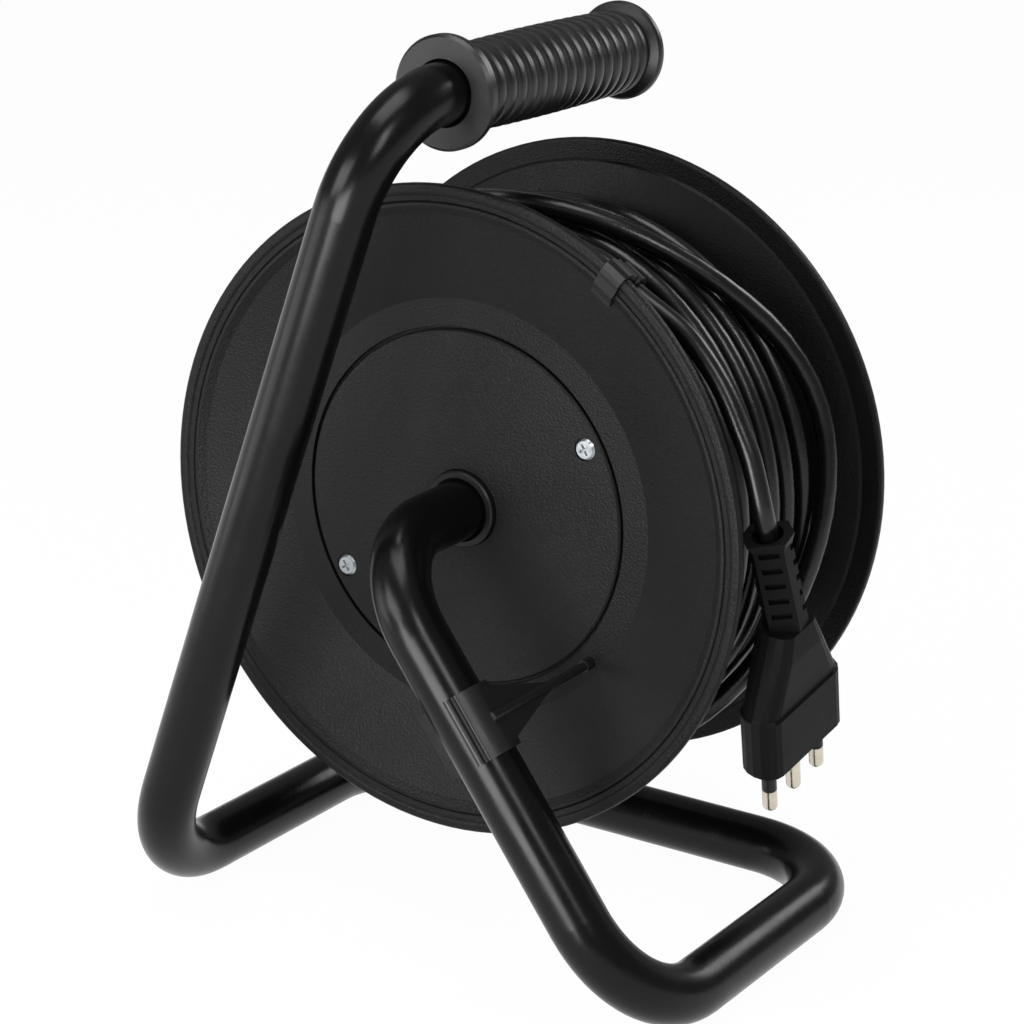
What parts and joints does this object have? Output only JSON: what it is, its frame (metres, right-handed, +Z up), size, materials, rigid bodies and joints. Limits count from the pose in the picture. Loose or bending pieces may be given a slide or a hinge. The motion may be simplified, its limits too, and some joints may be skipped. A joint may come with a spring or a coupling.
{
  "type": "extension cord reel",
  "caption": "Extension cord reel: black moulded drum of wound cord on a bent-tube stand, with a three-pin plug.",
  "frame": {"origin": "under the middle of the reel's box, on the ground that the stand rests on", "axes": "+Z up, +Y along the drum's axle from the open front of the stand to the sockets, +X to the side where the plug is parked"},
  "size_m": [0.2303, 0.1832, 0.307],
  "materials": {
    "tube_enamel": "satin",
    "grip_rubber": "matte",
    "drum_plastic": "fine texture",
    "cover_plastic": "fine texture",
    "socket_plastic": "satin",
    "moulded_nylon": "satin",
    "knob_plastic": "satin",
    "button_plastic": "satin",
    "cord_jacket": "satin",
    "plug_plastic": "satin",
    "sleeve_plastic": "satin",
    "zinc_steel": "bright zinc plating",
    "plated_brass": "nickel plated",
    "contact_brass": "plain"
  },
  "bodies": {
    "frame": {"tube_frame": "tube_enamel", "hand_grip": "grip_rubber", "axle_stop_ring": "zinc_steel", "axle_plug": "moulded_nylon", "axle_washer": "zinc_steel", "axle_screw": "zinc_steel"},
    "drum": {"front_flange": "drum_plastic", "rear_flange": "drum_plastic", "front_cover": "cover_plastic", "cover_screws": "zinc_steel", "front_bush": "moulded_nylon", "rear_bush": "moulded_nylon", "shell_screws": "zinc_steel", "socket_panel": "cover_plastic", "panel_screws": "zinc_steel", "socket_1": "socket_plastic", "socket_2": "socket_plastic", "socket_3": "socket_plastic", "socket_4": "socket_plastic", "live_bar": "contact_brass", "neutral_bar": "contact_brass", "earth_bar": "contact_brass", "thermal_cutout": "socket_plastic", "inner_lead": "cord_jacket", "cord_clamp": "moulded_nylon", "clamp_screws": "zinc_steel", "winding_core": "cord_jacket", "winding_turns": "cord_jacket", "free_cord": "cord_jacket", "plug_relief": "plug_plastic", "plug_body": "plug_plastic", "plug_pins": "plated_brass", "pin_sleeves": "sleeve_plastic", "rim_clip": "moulded_nylon", "knob_pin": "zinc_steel"},
    "knob": {"winding_knob": "knob_plastic"},
    "button": {"reset_button": "button_plastic"},
    "brake": {"drum_brake": "knob_plastic"}
  },
  "joints": [
    {"name": "drum_spin", "type": "hinge", "parent": "frame", "child": "drum", "pos_m": [-0.0025, 0.00337, 0.148], "axis": [0, 1, 0], "range_deg": [-90, 215]},
    {"name": "knob_spin", "type": "hinge", "parent": "drum", "child": "knob", "pos_m": [-0.0025, 0.07838, 0.232], "axis": [0, 1, 0], "continuous": true},
    {"name": "reset_press", "type": "slide", "parent": "drum", "child": "button", "axis": [0, 1, 0], "range_m": [-0.002, 0], "stiffness_N_per_m": 800},
    {"name": "brake_swing", "type": "hinge", "parent": "frame", "child": "brake", "pos_m": [0.0371, -0.07963, 0.09595], "axis": [0.6055, 0, -0.7958], "range_deg": [0, 180]}
  ]
}
